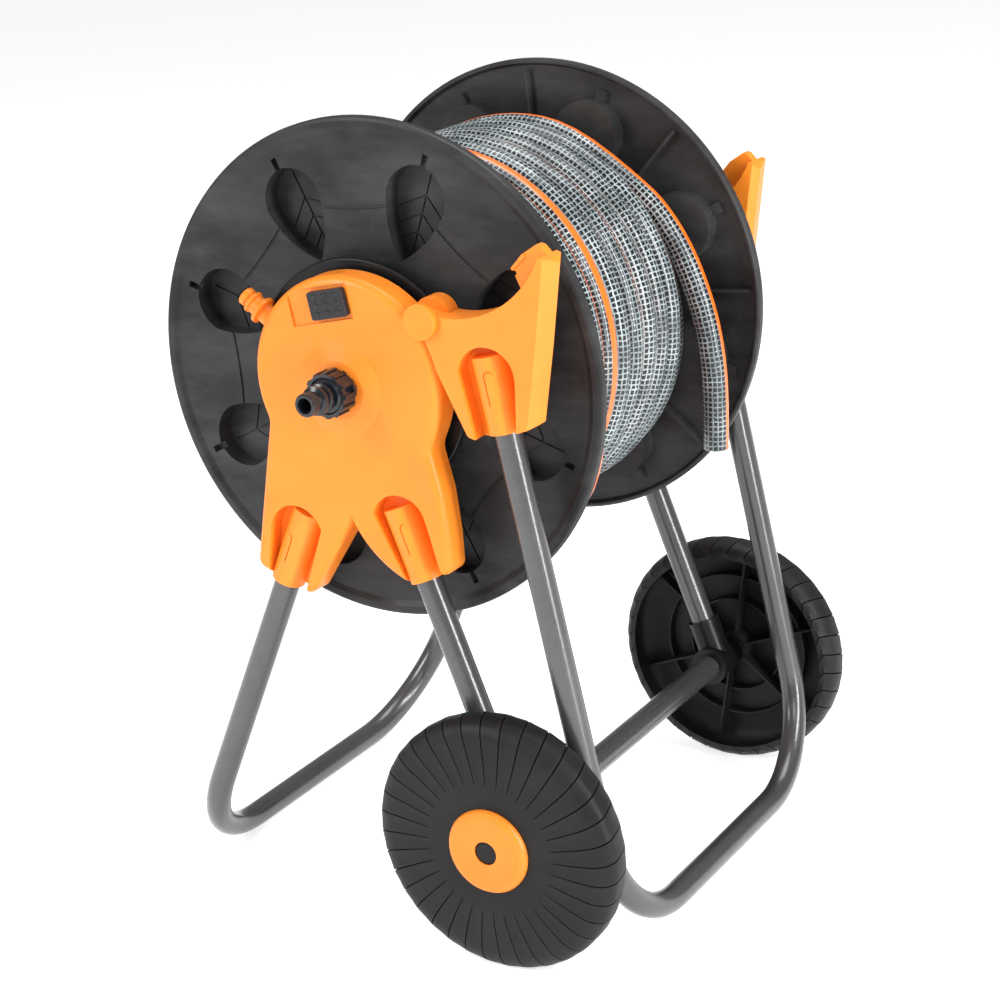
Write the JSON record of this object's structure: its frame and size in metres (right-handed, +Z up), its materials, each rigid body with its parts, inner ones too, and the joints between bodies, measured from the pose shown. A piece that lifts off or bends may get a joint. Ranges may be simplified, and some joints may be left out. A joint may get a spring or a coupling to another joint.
{
  "type": "garden hose reel cart",
  "caption": "Two-wheeled garden hose cart: a crank-turned reel of hose between side plates on a tube frame, with a fold-down push handle and a water inlet nipple.",
  "frame": {"origin": "on the floor, under the centre of the cart's bounding box", "axes": "+Z up; Y along the reel and wheel axles, with the water inlet at -Y and the crank at +Y; +X towards the wheels and the folded handle"},
  "size_m": [0.381, 0.46, 0.559],
  "materials": {
    "grey_painted_tube": "satin grey powder coat on round steel tube",
    "zinc_steel": "bright zinc plated steel",
    "black_plastic": "fine-grained black moulded plastic",
    "orange_plastic": "satin moulded orange plastic",
    "dark_fitting": "smooth dark grey moulded fitting",
    "seal_rubber": "matt black rubber",
    "charcoal_plastic": "charcoal moulded plastic with faint flow marks",
    "grey_button": "dark grey moulded plastic with raised dots",
    "wheel_plastic": "matt black moulded wheel with tread grooves",
    "hose": "clear layer over a pale net braid and a dark core, with an orange stripe"
  },
  "bodies": {
    "frame": {"foot_frame": "grey_painted_tube", "rear_leg_near": "grey_painted_tube", "rear_leg_far": "grey_painted_tube", "axle_tube": "grey_painted_tube", "axle_rod": "zinc_steel", "axle_tee_near": "black_plastic", "axle_tee_far": "black_plastic", "wheel_spacer_near": "black_plastic", "wheel_spacer_far": "black_plastic", "axle_push_nuts": "zinc_steel", "side_plate_near": "orange_plastic", "side_plate_far": "orange_plastic", "inner_cover_near": "black_plastic", "inner_cover_far": "black_plastic", "cover_screws": "zinc_steel", "inlet_nipple": "dark_fitting", "inlet_nut": "dark_fitting", "inlet_o_ring": "seal_rubber", "accessory_holder": "orange_plastic", "hinge_pin_near": "orange_plastic", "hinge_pin_far": "orange_plastic", "lock_spring_near": "zinc_steel", "lock_spring_far": "zinc_steel"},
    "handle": {"handle_tube": "grey_painted_tube", "handle_bracket_near": "orange_plastic", "handle_bracket_far": "orange_plastic"},
    "reel": {"flange_near": "charcoal_plastic", "flange_far": "charcoal_plastic", "drum_core": "charcoal_plastic", "drum_screws": "zinc_steel", "swivel_elbow": "black_plastic", "swivel_o_rings": "seal_rubber", "hose_clamp": "zinc_steel", "hose_lead": "hose", "hose_coil": "hose", "hose_tail": "hose", "drive_shaft": "black_plastic", "crank_arm": "orange_plastic", "crank_screw": "zinc_steel", "crank_pin": "zinc_steel"},
    "crank_grip": {"crank_grip": "charcoal_plastic"},
    "wheel_near": {"wheel_near": "wheel_plastic", "wheel_cap_near": "orange_plastic", "wheel_plug_near": "black_plastic"},
    "wheel_far": {"wheel_far": "wheel_plastic", "wheel_cap_far": "orange_plastic", "wheel_plug_far": "black_plastic"},
    "lock_slider_near": {"lock_slider_near": "grey_button"},
    "lock_slider_far": {"lock_slider_far": "grey_button"}
  },
  "joints": [
    {"name": "reel_turn", "type": "hinge", "parent": "frame", "child": "reel", "pos_m": [-0.0115, -0.022, 0.387], "axis": [0, 1, 0], "continuous": true},
    {"name": "crank_grip_turn", "type": "hinge", "parent": "reel", "child": "crank_grip", "pos_m": [-0.08575, 0.193, 0.31275], "axis": [0, 1, 0], "continuous": true},
    {"name": "wheel_near_turn", "type": "hinge", "parent": "frame", "child": "wheel_near", "pos_m": [0.1005, -0.206, 0.09], "axis": [0, 1, 0], "continuous": true},
    {"name": "wheel_far_turn", "type": "hinge", "parent": "frame", "child": "wheel_far", "pos_m": [0.1005, 0.162, 0.09], "axis": [0, 1, 0], "continuous": true},
    {"name": "handle_fold", "type": "hinge", "parent": "frame", "child": "handle", "pos_m": [0.0555, -0.022, 0.438], "axis": [0, -1, 0], "range_deg": [0, 142]},
    {"name": "lock_near_slide", "type": "slide", "parent": "frame", "child": "lock_slider_near", "axis": [-0.9816, 0, -0.1908], "range_m": [0, 0.009], "stiffness_N_per_m": 150, "springref_m": -0.004, "deforming": ["lock_spring_near"]},
    {"name": "lock_far_slide", "type": "slide", "parent": "frame", "child": "lock_slider_far", "axis": [-0.9816, 0, -0.1908], "range_m": [0, 0.009], "stiffness_N_per_m": 150, "springref_m": -0.004, "deforming": ["lock_spring_far"]}
  ]
}
